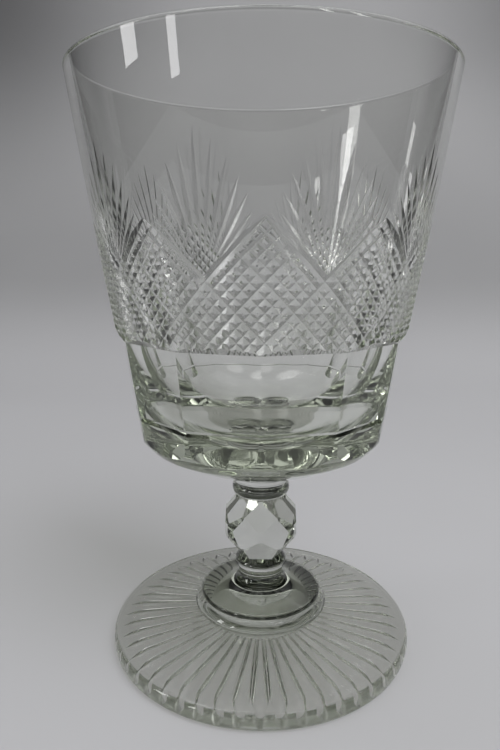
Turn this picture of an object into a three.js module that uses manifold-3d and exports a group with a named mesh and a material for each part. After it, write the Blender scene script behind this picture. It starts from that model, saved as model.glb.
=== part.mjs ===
// A rummer: a footed drinking glass with a bucket bowl, a facet-cut knop and a ray-cut foot.
// It is made of separate gathers of glass, each seated face to face on the one below.
// Millimetres, +Z up. The origin is on the table, under the middle of the foot.
import * as THREE from 'three';
import { mergeVertices } from 'three/addons/utils/BufferGeometryUtils.js';
import Module from 'manifold-3d';

const wasm = await Module();
wasm.setup();

// The height of each piece. They stand on each other, from the foot up.
const footHeight = 9;
const stepHeight = 3.2;
const stemHeight = 9.4;
const lowerCollarHeight = 2.4;
const knopHeight = 18;
const upperCollarHeight = 6.6;
const bowlHeight = 101.4;

// The foot: a plain disc, domed on top, that rests on a narrow ring round its edge.
const footRadius = 41.8;
const footEdgeHeight = 4.6;
const footEdgeRound = 1.5;
const footHollowDepth = 1.6;
const restingRingInner = 37.6;
const restingRingOuter = 40.4;
const footHollowFlat = 12;

// The rays cut under the foot. They touch each other almost all the way out.
const rayCount = 48;
const rayInner = 13.5;
const rayOuter = 39;
const rayDepth = 0.78;
const rayWidestShare = 0.62;
const rayHalfAngle = THREE.MathUtils.degToRad(68);

// The step, a round terrace on the foot, and the stem, a waisted neck on a thin disc.
const stepRadius = 18.9;
const stepTopRadius = 17.1;
const stepUndercut = 16.2;
const stemDiscRadius = 16.9;
const stemDiscThickness = 1.5;
const stemWaistRadius = 6.2;
const stemWaistRise = 6.4;
const stemTopRadius = 7;

// The collars above and below the knop.
const lowerCollarRadius = 7.3;
const lowerCollarNeck = 5.7;
const upperCollarRadius = 7.9;
const upperCollarWaist = 7.2;

// The knop, cut flat all over in three rows of facets.
const knopRadius = 10.9;
const knopFacetsRound = 6;
const knopBottomRadius = 5.7;
const knopTopRadius = 7.2;
const knopWaistFacet = 9.75;
const knopShoulderFacet = 9.7;
const knopShoulderTilt = THREE.MathUtils.degToRad(36);

// The bowl's outside. Rises are over the bowl's foot, which stands on the upper collar.
const bowlNeckRadius = 7.9;
const basePullRise = 1.2;
const baseCornerRise = 8.6;
const baseCornerRadius = 29.8;
const baseShoulderRise = 13.6;
const baseShoulderRadius = 33.4;
const hatchFootRise = 39.6;
const hatchFootRadius = 37.8;
const wallMidRise = 70.4;
const wallMidRadius = 43;
const rimRadius = 47.2;
const rimRound = 0.9;

// The bowl's inside. Its wall is thick at the foot of the diamonds, and below it is a round well.
const rimWall = 2.3;
const hatchWall = 4.4;
const wellPullRadius = 32;
const wellPullRise = 25.4;
const wellFloorPull = 20;
const wellFloorRise = 11.4;

// The flutes: flat panels round the bottom of the bowl, with a mitre ring across them.
const fluteCount = 12;
const fluteInset = 0.3;
const fluteLean = 3.1;
const fluteRingRise = 18.9;
const ringMitreDepth = 0.55;
const ringMitreHeight = 1.5;

// The band of diamonds above the flutes. Its top edge goes up and down, with a fan in each valley.
const fanCount = 10;
const peakRise = 66;
const valleyRise = 53.3;
const peakTurn = THREE.MathUtils.degToRad(1);
const bandDepth = 0.9;
const bandLiftShare = 0.16;
const bandHalfAngle = THREE.MathUtils.degToRad(48);
const fanRays = 11;
const fanStart = 3.2;
const fanLongRay = 29.5;
const fanShortRay = 17.8;
const fanSpread = THREE.MathUtils.degToRad(38);
const fanDepth = 0.55;
const fanWidestShare = 0.5;
const fanLiftShare = 0.05;
const fanHalfAngle = THREE.MathUtils.degToRad(52);

// How finely round forms are divided, and how far a cutter runs past what it cuts.
const roundSegments = 60;
const stemSegments = 48;
const collarSegments = 36;
const bandSteps = 3;
const fanSteps = 3;
const raySteps = 5;
const overrun = 1;

// Heights above the table, from the foot up.
const footTop = footHeight;
const stepTop = footTop + stepHeight;
const stemTop = stepTop + stemHeight;
const lowerCollarTop = stemTop + lowerCollarHeight;
const knopTop = lowerCollarTop + knopHeight;
const bowlFoot = knopTop + upperCollarHeight;
const glassTop = bowlFoot + bowlHeight;
const hatchFoot = bowlFoot + hatchFootRise;

// The ridges between the flutes stand just inside the wall above, and lean in down to the ring.
const fluteTopRadius = hatchFootRadius - fluteInset;
const fluteRingRadius = fluteTopRadius - fluteLean;

const glass = (color) => new THREE.MeshStandardMaterial({ color, roughness: 0.04, metalness: 0 });

const point = (radius, height) => new THREE.Vector2(radius, height);

// Turns a closed geometry into a solid that can be cut.
function solidOf(geometry) {
  const bare = geometry.clone();
  bare.deleteAttribute('normal');
  bare.deleteAttribute('uv');
  const merged = mergeVertices(bare);
  const index = merged.index.array;
  const triVerts = [];
  for (let i = 0; i < index.length; i += 3) {
    const [a, b, c] = [index[i], index[i + 1], index[i + 2]];
    if (a !== b && b !== c && c !== a) triVerts.push(a, b, c);
  }
  return new wasm.Manifold(new wasm.Mesh({
    numProp: 3,
    vertProperties: new Float32Array(merged.attributes.position.array),
    triVerts: new Uint32Array(triVerts),
  }));
}

// Turns a solid back into a flat-shaded geometry.
function geometryOf(solid) {
  const mesh = solid.getMesh();
  const shared = new THREE.BufferGeometry();
  shared.setAttribute('position', new THREE.BufferAttribute(new Float32Array(mesh.vertProperties), 3));
  shared.setIndex(new THREE.BufferAttribute(new Uint32Array(mesh.triVerts), 1));
  const flat = shared.toNonIndexed();
  flat.computeVertexNormals();
  return flat;
}

// Spins a profile, listed from the bottom of the axis to its top, round the upright axis.
function turned(profile, segments) {
  return new THREE.LatheGeometry(profile, segments).rotateX(Math.PI / 2);
}

// The bowl wall's radius at a height, on its uncut outside.
const wallCurve = new THREE.QuadraticBezierCurve(
  point(hatchFootRadius, hatchFoot),
  point(wallMidRadius, bowlFoot + wallMidRise),
  point(rimRadius, glassTop - rimRound),
);

function wallRadius(height) {
  const low = wallCurve.v0.y;
  const mid = wallCurve.v1.y;
  const high = wallCurve.v2.y;
  const bend = low - 2 * mid + high;
  const slope = 2 * (mid - low);
  const rise = low - height;
  const share = (-slope + Math.sqrt(slope * slope - 4 * bend * rise)) / (2 * bend);
  return wallCurve.getPoint(share).x;
}

// A place on the bowl wall, with its outward normal. The turn is measured from the front, to the right.
function onWall(turn, height) {
  const radius = wallRadius(height);
  const rise = wallRadius(height + overrun) - wallRadius(height - overrun);
  const slope = Math.atan2(rise, 2 * overrun);
  return {
    place: new THREE.Vector3(radius * Math.sin(turn), -radius * Math.cos(turn), height),
    normal: new THREE.Vector3(
      Math.sin(turn) * Math.cos(slope),
      -Math.cos(turn) * Math.cos(slope),
      -Math.sin(slope),
    ),
  };
}

// A mitre cutter: a three-sided bar laid along a path on a surface, with its edge in the glass.
// The path gives a place and a normal for a share of its length, and depthAt gives the depth there.
function mitre(path, depthAt, halfAngle, steps) {
  const bar = new THREE.CylinderGeometry(1, 1, 1, 3, steps);
  const corners = bar.attributes.position;
  const step = 1 / (4 * steps);
  for (let i = 0; i < corners.count; i += 1) {
    const across = corners.getX(i) / Math.sin(Math.PI / 3);
    const into = (corners.getZ(i) + 0.5) / 1.5;
    const share = 0.5 - corners.getY(i);
    const { place, normal } = path(share);
    const ahead = path(Math.min(share + step, 1)).place;
    const behind = path(Math.max(share - step, 0)).place;
    const along = ahead.sub(behind).normalize();
    const side = new THREE.Vector3().crossVectors(along, normal).normalize();
    const depth = depthAt(share);
    const reach = (depth + overrun) * Math.tan(halfAngle);
    const corner = place.clone()
      .addScaledVector(side, across * reach)
      .addScaledVector(normal, overrun - into * (depth + overrun));
    corners.setXYZ(i, corner.x, corner.y, corner.z);
  }
  return solidOf(bar);
}

// How deep a cut is at a share of its length: it grows evenly to its widest place, then runs out.
function runningOut(share, widestShare) {
  if (share < widestShare) return share / widestShare;
  return 1 - ((share - widestShare) / (1 - widestShare)) ** 2;
}

function fanCutters() {
  const cutters = [];
  const pitch = (2 * Math.PI) / fanCount;
  for (let fan = 0; fan < fanCount; fan += 1) {
    const valleyTurn = peakTurn + (fan + 0.5) * pitch;
    for (let ray = 0; ray < fanRays; ray += 1) {
      const lean = -1 + (2 * ray) / (fanRays - 1);
      const angle = lean * fanSpread;
      const reach = fanLongRay + (fanShortRay - fanLongRay) * Math.abs(lean);
      const deepest = fanDepth * Math.sqrt(reach / fanLongRay);
      const path = (share) => {
        const out = fanStart + share * (reach - fanStart);
        const height = bowlFoot + valleyRise + out * Math.cos(angle);
        return onWall(valleyTurn + (out * Math.sin(angle)) / wallRadius(height), height);
      };
      const depthAt = (share) => deepest * (runningOut(share, fanWidestShare) - fanLiftShare);
      cutters.push(mitre(path, depthAt, fanHalfAngle, fanSteps));
    }
  }
  return cutters;
}

// The wide mitres of the diamond band run down both ways from the peaks and from half way between.
function bandCutters() {
  const cutters = [];
  const halfPitch = Math.PI / fanCount;
  const drop = peakRise - valleyRise;
  const end = hatchFoot - overrun;
  for (let line = 0; line < 2 * fanCount; line += 1) {
    const atPeak = line % 2 === 0;
    const top = bowlFoot + peakRise - (atPeak ? 0 : drop / 2);
    for (const way of [-1, 1]) {
      const start = peakTurn + line * halfPitch + (atPeak ? 0 : (way * halfPitch) / 2);
      const path = (share) => {
        const height = top + share * (end - top);
        return onWall(start + (way * halfPitch * (top - height)) / drop, height);
      };
      const depthAt = (share) => bandDepth * (Math.min(1, share * bandSteps) - bandLiftShare);
      cutters.push(mitre(path, depthAt, bandHalfAngle, bandSteps));
    }
  }
  return cutters;
}

// Everything outside the flat panels, from the collar up to a ledge that slopes in under the diamonds.
function fluteCutter() {
  const ledge = hatchFootRadius - fluteTopRadius * Math.cos(Math.PI / fluteCount);
  const slope = (fluteTopRadius - fluteRingRadius) / (hatchFootRise - fluteRingRise);
  const fall = hatchFootRise + overrun;
  const ring = bowlFoot + fluteRingRise;
  const outer = footRadius;
  const block = solidOf(turned([
    point(0, hatchFoot - fall),
    point(outer, hatchFoot - fall),
    point(outer, hatchFoot + outer - hatchFootRadius),
    point(hatchFootRadius - ledge, hatchFoot - ledge),
    point(0, hatchFoot - ledge),
  ], roundSegments));
  const prism = solidOf(turned([
    point(0, hatchFoot - fall - overrun),
    point(fluteTopRadius - slope * (fall + overrun), hatchFoot - fall - overrun),
    point(fluteRingRadius - ringMitreHeight * slope / 2, ring - ringMitreHeight / 2),
    point(fluteRingRadius - ringMitreDepth, ring),
    point(fluteRingRadius + ringMitreHeight * slope / 2, ring + ringMitreHeight / 2),
    point(fluteTopRadius, hatchFoot),
    point(fluteTopRadius, hatchFoot + outer),
    point(0, hatchFoot + outer),
  ], fluteCount));
  return block.subtract(prism);
}

// The underside and the shoulder, from the neck up to where the flutes begin.
function bowlBase() {
  const corner = point(baseCornerRadius, bowlFoot + baseCornerRise);
  const shoulder = point(baseShoulderRadius, bowlFoot + baseShoulderRise);
  const underside = new THREE.CubicBezierCurve(
    point(bowlNeckRadius, bowlFoot),
    point(2 * bowlNeckRadius, bowlFoot + basePullRise),
    point(baseCornerRadius - baseCornerRise / 2, corner.y - 2 * basePullRise),
    corner,
  ).getPoints(4);
  const pull = point(
    baseShoulderRadius - (baseShoulderRise - baseCornerRise) / 4,
    shoulder.y - (shoulder.y - corner.y) / 3,
  );
  return [...underside, ...new THREE.QuadraticBezierCurve(corner, pull, shoulder).getPoints(2).slice(1)];
}

// The inside, from the rim down to the middle of the well's floor.
function bowlInside() {
  const floor = bowlFoot + wellFloorRise;
  const well = new THREE.CubicBezierCurve(
    point(hatchFootRadius - hatchWall, hatchFoot),
    point(wellPullRadius, bowlFoot + wellPullRise),
    point(wellFloorPull, floor),
    point(0, floor),
  ).getPoints(6);
  return [
    point(rimRadius - rimWall, glassTop - rimRound),
    point(wallMidRadius - (rimWall + hatchWall) / 2, (glassTop + hatchFoot) / 2),
    ...well,
  ];
}

function bowl() {
  const rim = [
    point(rimRadius - rimRound / 2, glassTop - rimRound / 4),
    point(rimRadius - rimWall / 2, glassTop),
    point(rimRadius - rimWall + rimRound / 2, glassTop - rimRound / 4),
  ];
  const outside = [point(0, bowlFoot), ...bowlBase(), ...wallCurve.getPoints(3)];
  const blank = solidOf(turned([...outside, ...rim, ...bowlInside()], roundSegments));
  const cut = blank.subtract(fluteCutter());
  return geometryOf(cut.subtract(wasm.Manifold.union([...fanCutters(), ...bandCutters()])));
}

// A flat-faced block whose face lies at a distance from a centre, facing a direction.
function facetCutter(centre, direction, distance) {
  const size = 4 * knopRadius;
  const block = new THREE.Mesh(new THREE.BoxGeometry(size, size, size));
  block.position.copy(centre).addScaledVector(direction, distance + size / 2);
  block.quaternion.setFromUnitVectors(new THREE.Vector3(0, 0, 1), direction);
  block.updateMatrix();
  return solidOf(block.geometry.applyMatrix4(block.matrix));
}

function knop() {
  const half = knopHeight / 2;
  const middle = lowerCollarTop + half;
  const outline = [point(0, lowerCollarTop), point(knopBottomRadius, lowerCollarTop)];
  const ringCount = 8;
  for (let ring = 1; ring < ringCount; ring += 1) {
    const share = -1 + (2 * ring) / ringCount;
    const end = share < 0 ? knopBottomRadius : knopTopRadius;
    outline.push(point(end + (knopRadius - end) * Math.sqrt(1 - share * share), middle + share * half));
  }
  outline.push(point(knopTopRadius, knopTop), point(0, knopTop));
  const centre = new THREE.Vector3(0, 0, middle);
  const cutters = [];
  for (let facet = 0; facet < knopFacetsRound; facet += 1) {
    const turn = (facet * 2 * Math.PI) / knopFacetsRound;
    const between = turn + Math.PI / knopFacetsRound;
    for (const tilt of [-knopShoulderTilt, knopShoulderTilt]) {
      const direction = new THREE.Vector3(
        Math.sin(turn) * Math.cos(tilt),
        -Math.cos(turn) * Math.cos(tilt),
        Math.sin(tilt),
      );
      cutters.push(facetCutter(centre, direction, knopShoulderFacet));
    }
    const level = new THREE.Vector3(Math.sin(between), -Math.cos(between), 0);
    cutters.push(facetCutter(centre, level, knopWaistFacet));
  }
  const blank = solidOf(turned(outline, collarSegments));
  return geometryOf(blank.subtract(wasm.Manifold.union(cutters)));
}

function upperCollar() {
  const waist = (knopTop + bowlFoot) / 2;
  const bead = (waist - knopTop) / 3;
  return turned([
    point(0, knopTop),
    point(knopTopRadius, knopTop),
    point(upperCollarRadius, knopTop + bead),
    point(upperCollarRadius, waist - bead),
    point(upperCollarWaist, waist),
    point(upperCollarWaist, (waist + bowlFoot) / 2),
    point(bowlNeckRadius, bowlFoot),
    point(0, bowlFoot),
  ], collarSegments);
}

function lowerCollar() {
  return turned([
    point(0, stemTop),
    point(stemTopRadius, stemTop),
    point(lowerCollarRadius, stemTop + lowerCollarHeight / 4),
    point(lowerCollarNeck, lowerCollarTop - lowerCollarHeight / 4),
    point(lowerCollarNeck, lowerCollarTop),
    point(0, lowerCollarTop),
  ], collarSegments);
}

function stem() {
  const discTop = stepTop + stemDiscThickness;
  const waist = stepTop + stemWaistRise;
  const flare = new THREE.CubicBezierCurve(
    point(stemDiscRadius - stemDiscThickness / 2, discTop),
    point(stemWaistRadius + stemDiscThickness, discTop + stemDiscThickness / 3),
    point(stemWaistRadius, waist - stemDiscThickness),
    point(stemWaistRadius, waist),
  ).getPoints(4);
  return turned([
    point(0, stepTop),
    point(stepUndercut, stepTop),
    point(stemDiscRadius, stepTop + stemDiscThickness / 3),
    point(stemDiscRadius, discTop - stemDiscThickness / 3),
    ...flare,
    point(stemTopRadius, stemTop),
    point(0, stemTop),
  ], stemSegments);
}

function step() {
  return turned([
    point(0, footTop),
    point(stepRadius - stepHeight / 6, footTop),
    point(stepRadius, footTop + stepHeight / 4),
    point(stepRadius - stepHeight / 8, footTop + stepHeight / 2),
    point(stepTopRadius, stepTop - stepHeight / 8),
    point(stepUndercut, stepTop),
    point(0, stepTop),
  ], stemSegments);
}

// The foot's hollow underside, as a height above the table for a radius.
function undersideHeight(radius) {
  const share = (restingRingInner - radius) / (restingRingInner - footHollowFlat);
  return footHollowDepth * Math.min(1, Math.max(0, share));
}

function rayCutters() {
  const cutters = [];
  const radiusAt = (share) => rayInner + share * (rayOuter - rayInner);
  // A ray is as wide as there is room for up to its widest place, and runs out to a point from there.
  const depthAt = (share) => {
    if (share > rayWidestShare) return rayDepth * runningOut(share, rayWidestShare);
    return (rayDepth * radiusAt(share)) / radiusAt(rayWidestShare);
  };
  for (let ray = 0; ray < rayCount; ray += 1) {
    const turn = (ray * 2 * Math.PI) / rayCount;
    const path = (share) => {
      const radius = radiusAt(share);
      return {
        place: new THREE.Vector3(radius * Math.sin(turn), -radius * Math.cos(turn), undersideHeight(radius)),
        normal: new THREE.Vector3(0, 0, -1),
      };
    };
    cutters.push(mitre(path, depthAt, rayHalfAngle, raySteps));
  }
  return cutters;
}

function foot() {
  const domeRise = footHeight - footEdgeHeight;
  const dome = new THREE.CubicBezierCurve(
    point(footRadius - footEdgeRound, footEdgeHeight),
    point((footRadius + stepRadius) / 2, footEdgeHeight + domeRise / 3),
    point(stepRadius + (footRadius - stepRadius) / 4, footTop - domeRise / 3),
    point(stepRadius - stepHeight / 6, footTop),
  ).getPoints(3);
  const blank = solidOf(turned([
    point(0, footHollowDepth),
    point(footHollowFlat, footHollowDepth),
    point(restingRingInner, 0),
    point(restingRingOuter, 0),
    point(footRadius - footEdgeRound / 4, footEdgeRound * 2 / 3),
    point(footRadius, footEdgeHeight / 2),
    point(footRadius - footEdgeRound / 3, footEdgeHeight - footEdgeRound / 2),
    ...dome,
    point(0, footTop),
  ], roundSegments));
  return geometryOf(blank.subtract(wasm.Manifold.union(rayCutters())));
}

const pieces = {
  foot: [foot(), 0xdfe6e2],
  foot_step: [step(), 0xd9e2dd],
  stem: [stem(), 0xe2e8e5],
  lower_collar: [lowerCollar(), 0xd6dfda],
  knop: [knop(), 0xe6ebe9],
  upper_collar: [upperCollar(), 0xd6dfda],
  bowl: [bowl(), 0xe3e9e6],
};

const rummer = new THREE.Group();
for (const [name, [geometry, color]] of Object.entries(pieces)) {
  const piece = new THREE.Mesh(geometry, glass(color));
  piece.name = name;
  rummer.add(piece);
}

export default rummer;
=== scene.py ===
import math

import bpy
from bpy.props import FloatProperty, FloatVectorProperty, IntProperty, PointerProperty
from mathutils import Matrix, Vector


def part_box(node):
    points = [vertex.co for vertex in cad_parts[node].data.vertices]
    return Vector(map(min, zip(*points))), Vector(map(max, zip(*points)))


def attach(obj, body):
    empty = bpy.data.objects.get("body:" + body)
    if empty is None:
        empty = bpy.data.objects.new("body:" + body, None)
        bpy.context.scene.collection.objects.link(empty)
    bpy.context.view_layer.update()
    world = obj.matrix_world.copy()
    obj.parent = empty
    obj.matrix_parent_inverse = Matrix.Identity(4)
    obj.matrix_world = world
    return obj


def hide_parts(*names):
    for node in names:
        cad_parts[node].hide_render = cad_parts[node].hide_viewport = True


bl_info = {
    "name": "Cut-glass rummer",
    "version": (1, 0, 0),
    "blender": (4, 5, 0),
    "location": "3D View > Sidebar > Rummer",
    "description": "Builds a wheel-cut rummer piece by piece, with its glass and its studio",
    "category": "Add Mesh",
}

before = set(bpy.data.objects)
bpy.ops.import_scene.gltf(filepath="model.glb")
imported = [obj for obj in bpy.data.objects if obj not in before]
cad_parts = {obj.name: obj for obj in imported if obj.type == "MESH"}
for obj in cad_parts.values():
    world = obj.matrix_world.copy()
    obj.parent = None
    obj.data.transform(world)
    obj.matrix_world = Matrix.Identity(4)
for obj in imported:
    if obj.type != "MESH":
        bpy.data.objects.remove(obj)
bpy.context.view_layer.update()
BODY = "root"


def span(node):
    """A node's bottom height, top height and radius."""
    low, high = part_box(node)
    return low.z, high.z, high.x


BOWL_FOOT, GLASS_HEIGHT, RIM_RADIUS = span("bowl")
UPPER_COLLAR_FOOT, UPPER_COLLAR_TOP, UPPER_COLLAR_RADIUS = span("upper_collar")
KNOP_FOOT, KNOP_TOP, _ = span("knop")
LOWER_COLLAR_FOOT, LOWER_COLLAR_TOP, LOWER_COLLAR_RADIUS = span("lower_collar")
STEM_FOOT, STEM_TOP, STEM_DISC_RADIUS = span("stem")
STEP_FOOT, STEP_TOP, STEP_RADIUS = span("foot_step")
FOOT_BOTTOM, FOOT_TOP, FOOT_RADIUS = span("foot")
STEP_SEAT = STEP_RADIUS - (STEP_TOP - STEP_FOOT) / 6

# What a mesh carries: flags for faces that are cut, cut and left matt, or welded, the normal that
# each corner shows, and the turn of a cutter's copy.
CUT_FLAG = "wheel_cut"
MATT_FLAG = "matt_cut"
WELD_FLAG = "welded"
SOFT_NORMAL = "soft_normal"
COPY_TURN = "copy_turn"


def length(name, description, default, least=0.0):
    """A size in metres that a user may change."""
    return FloatProperty(name=name, description=description, default=default, min=least,
                         precision=5, unit="LENGTH", subtype="DISTANCE")


def angle(name, description, degrees):
    """An angle that a user may change, kept in radians."""
    return FloatProperty(name=name, description=description, default=math.radians(degrees),
                         unit="ROTATION", subtype="ANGLE")


def count(name, description, default):
    """A whole number that a user may change."""
    return IntProperty(name=name, description=description, default=default, min=3)


def share(name, description, default):
    """A share from 0 to 1 that a user may change."""
    return FloatProperty(name=name, description=description, default=default, min=0.0, max=1.0,
                         subtype="FACTOR")


def colour(name, description, default):
    """A colour that a user may change."""
    return FloatVectorProperty(name=name, description=description, default=default, min=0.0,
                               max=1.0, size=len(default), subtype="COLOR")


def power(name, description, watts):
    """The power of a lamp that a user may change."""
    return FloatProperty(name=name, description=description, default=watts, min=0.0, unit="POWER")


class RummerGlassSettings(bpy.types.PropertyGroup):
    """The glass itself."""
    tint: colour("Tint", "Colour of the surface of the old glass", (0.985, 0.986, 0.978, 1.0))
    depth_colour: colour("Depth colour", "Colour that thick glass takes on", (0.52, 0.6, 0.4, 1.0))
    depth_density: FloatProperty(name="Depth density", default=11.0, min=0.0,
                                 description="How fast thick glass takes on that colour")
    shadow_tint: colour("Shadow tint", "What lamplight keeps at each surface of the glass",
                        (0.82, 0.82, 0.805, 1.0))
    bending: FloatProperty(name="Refraction", description="Index of refraction of the glass",
                           default=1.53, min=1.0, max=2.0)
    polish: share("Polish", "Roughness of the fire-polished surface", 0.0)
    cut_polish: share("Cut polish", "Roughness that the wheel left in the cuts", 0.01)
    matt_polish: share("Matt polish", "Roughness of the diamonds and the fans", 0.17)
    striae_size: length("Striae size", "Width of the faint striae in the glass", 0.02, 0.001)


class RummerBowlSettings(bpy.types.PropertyGroup):
    """The bowl's blank, before it is cut."""
    neck_radius: length("Neck radius", "Radius of the weld on the collar", 0.0079)
    corner_radius: length("Corner radius", "Radius where the underside turns up", 0.0298)
    corner_rise: length("Corner rise", "Height of that corner over the collar", 0.0086)
    base_rise: length("Base rise", "How far the underside has risen at its first pull", 0.0012)
    shoulder_radius: length("Shoulder radius", "Radius where the flutes begin", 0.0334)
    shoulder_rise: length("Shoulder rise", "Height of the shoulder over the collar", 0.0136)
    foot_radius: length("Diamond foot radius", "Radius at the foot of the diamonds", 0.0378)
    foot_rise: length("Diamond foot rise", "Height of that foot over the collar", 0.0396)
    middle_radius: length("Wall pull radius", "Radius of the wall curve's control point", 0.043)
    middle_rise: length("Wall pull rise", "Height of that control point over the collar", 0.0704)
    rim_wall: length("Rim wall", "Thickness of the wall at the rim", 0.0023)
    rim_round: length("Rim round", "Height of the rim's rounding", 0.0009)
    hatch_wall: length("Diamond wall", "Thickness of the wall at the foot of the diamonds", 0.0044)
    well_pull_radius: length("Well pull radius", "Radius of the well curve's upper pull", 0.032)
    well_pull_rise: length("Well pull rise", "Height of that pull over the collar", 0.0254)
    well_floor_pull: length("Well floor pull", "Radius of the pull that rounds the floor", 0.02)
    well_floor_rise: length("Well floor rise", "Height of the floor over the collar", 0.0114)
    segments: count("Segments", "Steps round the bowl", 240)


class RummerFluteSettings(bpy.types.PropertyGroup):
    """The flat panels round the bottom of the bowl."""
    flutes: count("Flutes", "Number of flat panels", 12)
    top_radius: length("Ridge radius", "Radius of a ridge under the diamonds", 0.0375)
    ring_radius: length("Ring ridge radius", "Radius of a ridge at the ring", 0.0344)
    ring_drop: length("Ring drop", "Depth of the ring under the diamonds", 0.0207)
    ring_depth: length("Ring depth", "Depth of the mitre ring", 0.00055)
    ring_height: length("Ring height", "Height of the mitre ring", 0.0015)


class RummerDiamondSettings(bpy.types.PropertyGroup):
    """The band of diamonds."""
    repeats: count("Repeats", "Number of peaks, and of fans between them", 10)
    first_turn: angle("First peak", "Turn of the first peak from the front", 1.0)
    peak_rise: length("Peak rise", "Height of a peak over the diamonds' foot", 0.0264)
    valley_rise: length("Valley rise", "Height of a valley over the diamonds' foot", 0.0137)
    lines: count("Lines", "Cuts between one peak and the next, each way", 8)
    wide_every: count("Wide every", "One cut in so many is a wide one", 4)
    wide_depth: length("Wide depth", "Depth of a wide mitre", 0.00068)
    wide_angle: angle("Wide angle", "Half the opening of a wide mitre", 56.0)
    fine_depth: length("Fine depth", "Depth of a fine mitre", 0.0005)
    fine_angle: angle("Fine angle", "Half the opening of a fine mitre", 56.0)


class RummerFanSettings(bpy.types.PropertyGroup):
    """The fans over the valleys of the diamonds."""
    rays: count("Rays", "Cuts in a fan", 11)
    start: length("Start", "Distance of a cut's start from the valley", 0.0032)
    long_ray: length("Long ray", "Reach of the middle cut", 0.0295)
    short_ray: length("Short ray", "Reach of the outermost cuts", 0.0178)
    spread: angle("Spread", "Angle from the middle cut to the outermost", 38.0)
    depth: length("Depth", "Depth of the middle cut where it is deepest", 0.0005)
    widest: share("Widest", "Share of a cut's length at which it is deepest", 0.5)
    opening: angle("Opening", "Half the opening of a cut", 60.0)


class RummerKnopSettings(bpy.types.PropertyGroup):
    """The facet-cut knop."""
    radius: length("Radius", "Radius of the knop before it is cut", 0.0109)
    foot_radius: length("Foot radius", "Radius of the weld below", 0.0057)
    top_radius: length("Top radius", "Radius of the weld above", 0.0072)
    facets: count("Facets", "Facets in each row", 6)
    waist_facet: length("Waist facet", "Distance of a middle facet from the axis", 0.00975)
    shoulder_facet: length("Shoulder facet", "Distance of a slanting facet from the centre", 0.0097)
    shoulder_tilt: angle("Shoulder tilt", "Slant of the upper and lower facets", 36.0)


class RummerStemSettings(bpy.types.PropertyGroup):
    """The collars, the stem and the step under it."""
    upper_waist: length("Upper collar waist", "Radius of the hollow in the upper collar", 0.0072)
    lower_neck: length("Lower collar neck", "Radius of the lower collar under the knop", 0.0057)
    disc_thickness: length("Disc thickness", "Thickness of the stem's thin disc", 0.0015)
    waist_radius: length("Waist radius", "Radius of the stem's waist", 0.0062)
    waist_rise: length("Waist rise", "Height of the waist over the disc's foot", 0.0064)
    top_radius: length("Stem top radius", "Radius of the weld under the lower collar", 0.007)
    undercut: length("Undercut", "Radius of the weld between step and disc", 0.0162)
    step_top_radius: length("Step top radius", "Radius of the step's upper edge", 0.0171)


class RummerFootSettings(bpy.types.PropertyGroup):
    """The ray-cut foot."""
    edge_height: length("Edge height", "Height of the foot's edge", 0.0046)
    edge_round: length("Edge round", "Rounding of the foot's edge", 0.0015)
    hollow: length("Hollow", "Depth of the hollow under the foot", 0.0016)
    hollow_flat: length("Hollow flat", "Radius of the hollow's level middle", 0.012)
    rest_inner: length("Resting ring, inside", "Inner radius of the ring it stands on", 0.0376)
    rest_outer: length("Resting ring, outside", "Outer radius of the ring it stands on", 0.0404)
    rays: count("Rays", "Cuts under the foot", 48)
    ray_inner: length("Ray start", "Radius at which a cut starts", 0.0135)
    ray_outer: length("Ray end", "Radius at which a cut ends", 0.039)
    ray_width: share("Ray width", "Share of the room between two cuts that one fills", 0.96)
    ray_widest: share("Ray widest", "Share of a cut's length at which it is widest", 0.78)
    ray_slope: angle("Ray slope", "Slope of a round-bottomed cut at its edges", 40.0)


class RummerStageSettings(bpy.types.PropertyGroup):
    """The floor, the backdrop, the lamps and the camera."""
    floor_colour: colour("Floor", "Colour of the floor and backdrop", (0.5, 0.5, 0.515, 1.0))
    # The horizon colour is a painted shade: the paper is darker where it turns up.
    horizon_shade_colour: colour("Horizon", "Colour where the paper turns up", (0.37, 0.37, 0.378, 1.0))
    backdrop_colour: colour("Backdrop", "Colour of the backdrop high up", (0.51, 0.51, 0.52, 1.0))
    corner_shade: share("Corner shade", "How much darker the backdrop's upper corners are", 0.7)
    room_colour: colour("Room", "Colour of most of the room", (0.022, 0.022, 0.022, 1.0))
    wall_colour: colour("Wall", "Colour of the wall behind the camera", (0.2, 0.2, 0.2, 1.0))
    far_colour: colour("Far wall", "Colour of the wall over the backdrop", (0.7, 0.7, 0.712, 1.0))
    lamp_colour: colour("Ceiling lamps", "Colour of the lamps on the ceiling", (1.0, 1.0, 1.0, 1.0))
    dark_colour: colour("Dark parts", "Colour of the room's dark parts", (0.004, 0.004, 0.004, 1.0))
    softbox_power: power("Softbox", "Power of the soft lamp at the front right", 19.5)
    window_light: power("Window light", "Power of a square metre of window", 22.0)
    camera_distance: length("Camera distance", "Distance of the camera from the axis",
                            1.097 * GLASS_HEIGHT)
    camera_height: length("Camera height", "Height of the camera", 0.7264 * GLASS_HEIGHT)
    camera_pitch: angle("Camera pitch", "How far the camera looks down", 11.63)
    camera_yaw: angle("Camera yaw", "How far the camera looks to the left", 1.06)
    lens: FloatProperty(name="Lens", description="Focal length for a frame 36 mm high",
                        default=29.89, min=1.0, unit="CAMERA")


SETTINGS = {
    "glass": RummerGlassSettings,
    "bowl": RummerBowlSettings,
    "flutes": RummerFluteSettings,
    "diamonds": RummerDiamondSettings,
    "fans": RummerFanSettings,
    "knop": RummerKnopSettings,
    "stem": RummerStemSettings,
    "foot": RummerFootSettings,
    "stage": RummerStageSettings,
}


class RummerSettings(bpy.types.PropertyGroup):
    """All sizes and colours of the rummer."""
    __annotations__ = {name: PointerProperty(type=group) for name, group in SETTINGS.items()}


# Curves in the plane of a profile: a point is a radius and a height.

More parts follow.
